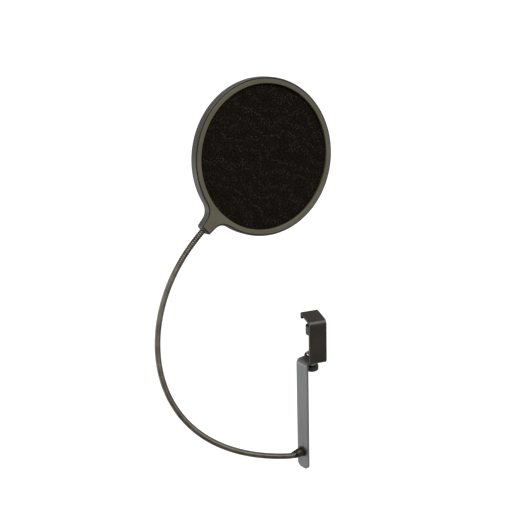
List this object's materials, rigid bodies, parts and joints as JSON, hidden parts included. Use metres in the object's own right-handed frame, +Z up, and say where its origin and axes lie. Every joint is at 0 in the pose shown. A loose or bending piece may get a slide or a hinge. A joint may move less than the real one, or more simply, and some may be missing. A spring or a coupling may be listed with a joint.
{
  "type": "pop filter",
  "caption": "Round mesh pop filter on a bendable gooseneck, carried by a flat swivelling arm under a C-shaped screw clamp.",
  "frame": {"origin": "on the clamp screw's axis, at the gripping face of the jaw pad", "axes": "+Z up along the clamp screw, towards the hook's top; +Y out of the jaw's mouth, away from the hook's spine; the hoop's front looks towards -Y; +X completes the right-handed frame"},
  "size_m": [0.2094, 0.1028, 0.4068],
  "materials": {
    "hook_paint": "dark grey-brown satin enamel",
    "arm_paint": "grey satin enamel",
    "rubber": "soft grip rubber",
    "zinc": "bright zinc plate",
    "fitting_steel": "dark bronze-black plate, polished",
    "neck_steel": "black oxide on wound wire",
    "core_steel": "drawn wire, oiled",
    "knob_plastic": "moulded black, fluted",
    "inner_plastic": "plain moulded black",
    "shell_plastic": "fine moulded grain",
    "bezel_plastic": "satin moulded face",
    "mesh_cloth": "fine black nylon mesh"
  },
  "bodies": {
    "clamp": {"hook": "hook_paint", "jaw_pad": "rubber", "swivel_bush": "zinc", "friction_washer": "inner_plastic"},
    "cap": {"screw_cap": "rubber"},
    "screw": {"clamp_screw": "zinc", "lock_collar": "zinc", "knob": "knob_plastic"},
    "arm": {"arm": "arm_paint", "base_washer": "fitting_steel", "ferrule": "fitting_steel", "ferrule_bolt": "fitting_steel", "lock_washer": "zinc", "crimp_ring": "fitting_steel", "neck_sheath_0": "neck_steel", "neck_core_0": "core_steel"},
    "neck_1": {"neck_sheath_1": "neck_steel", "neck_core_1": "core_steel"},
    "neck_2": {"neck_sheath_2": "neck_steel", "neck_core_2": "core_steel"},
    "neck_3": {"neck_sheath_3": "neck_steel", "neck_core_3": "core_steel"},
    "neck_4": {"neck_sheath_4": "neck_steel", "neck_core_4": "core_steel"},
    "neck_5": {"neck_sheath_5": "neck_steel", "neck_core_5": "core_steel"},
    "neck_6": {"neck_sheath_6": "neck_steel", "neck_core_6": "core_steel"},
    "neck_7": {"neck_sheath_7": "neck_steel", "neck_core_7": "core_steel"},
    "hoop": {"neck_sheath_8": "neck_steel", "neck_core_8": "core_steel", "neck_plug": "fitting_steel", "rear_shell": "shell_plastic", "front_bezel": "bezel_plastic", "mesh_front": "mesh_cloth", "mesh_rear": "mesh_cloth", "spacer_ring": "inner_plastic", "grub_screw": "zinc"}
  },
  "joints": [
    {"name": "screw_travel", "type": "slide", "parent": "clamp", "child": "cap", "axis": [0, 0, 1], "range_m": [-0.0202, 0.0016]},
    {"name": "screw_turn", "type": "hinge", "parent": "cap", "child": "screw", "pos_m": [0, 0, -0.03], "axis": [0, 0, 1], "range_deg": [-7200, 540]},
    {"name": "arm_swivel", "type": "hinge", "parent": "clamp", "child": "arm", "pos_m": [0, 0, -0.0434], "axis": [0, 0, 1], "continuous": true},
    {"name": "neck_bend_1", "type": "hinge", "parent": "arm", "child": "neck_1", "pos_m": [-0.05583, -0.01707, -0.13633], "axis": [0.2616, -0.9518, 0.1601], "range_deg": [-18, 18]},
    {"name": "neck_sway_2", "type": "hinge", "parent": "neck_1", "child": "neck_2", "pos_m": [-0.09095, -0.02379, -0.11881], "axis": [0.4697, 0.2709, 0.8402], "range_deg": [-18, 18]},
    {"name": "neck_bend_3", "type": "hinge", "parent": "neck_2", "child": "neck_3", "pos_m": [-0.12225, -0.02837, -0.09469], "axis": [0.263, -0.9514, 0.16], "range_deg": [-18, 18]},
    {"name": "neck_sway_4", "type": "hinge", "parent": "neck_3", "child": "neck_4", "pos_m": [-0.14679, -0.02993, -0.06349], "axis": [0.8243, 0.308, 0.4751], "range_deg": [-18, 18]},
    {"name": "neck_bend_5", "type": "hinge", "parent": "neck_4", "child": "neck_5", "pos_m": [-0.16113, -0.02774, -0.02655], "axis": [0.2639, -0.9515, 0.1584], "range_deg": [-12, 18]},
    {"name": "neck_sway_6", "type": "hinge", "parent": "neck_5", "child": "neck_6", "pos_m": [-0.16319, -0.0218, 0.01264], "axis": [0.959, 0.2409, -0.1491], "range_deg": [-18, 18]},
    {"name": "neck_bend_7", "type": "hinge", "parent": "neck_6", "child": "neck_7", "pos_m": [-0.1533, -0.01284, 0.05005], "axis": [0.2634, -0.9516, 0.1585], "range_deg": [-12, 18]},
    {"name": "neck_sway_8", "type": "hinge", "parent": "neck_7", "child": "hoop", "pos_m": [-0.13322, -0.00184, 0.08252], "axis": [0.7436, 0.0953, -0.6618], "range_deg": [-18, 18]}
  ],
  "couplings": [
    {"joint": "screw_travel", "follows": "screw_turn", "m_per_rad": 0.00015915},
    {"joint": "neck_bend_3", "follows": "neck_bend_1", "ratio": 1},
    {"joint": "neck_sway_4", "follows": "neck_sway_2", "ratio": 1},
    {"joint": "neck_bend_7", "follows": "neck_bend_5", "ratio": 1},
    {"joint": "neck_sway_8", "follows": "neck_sway_6", "ratio": 1}
  ]
}
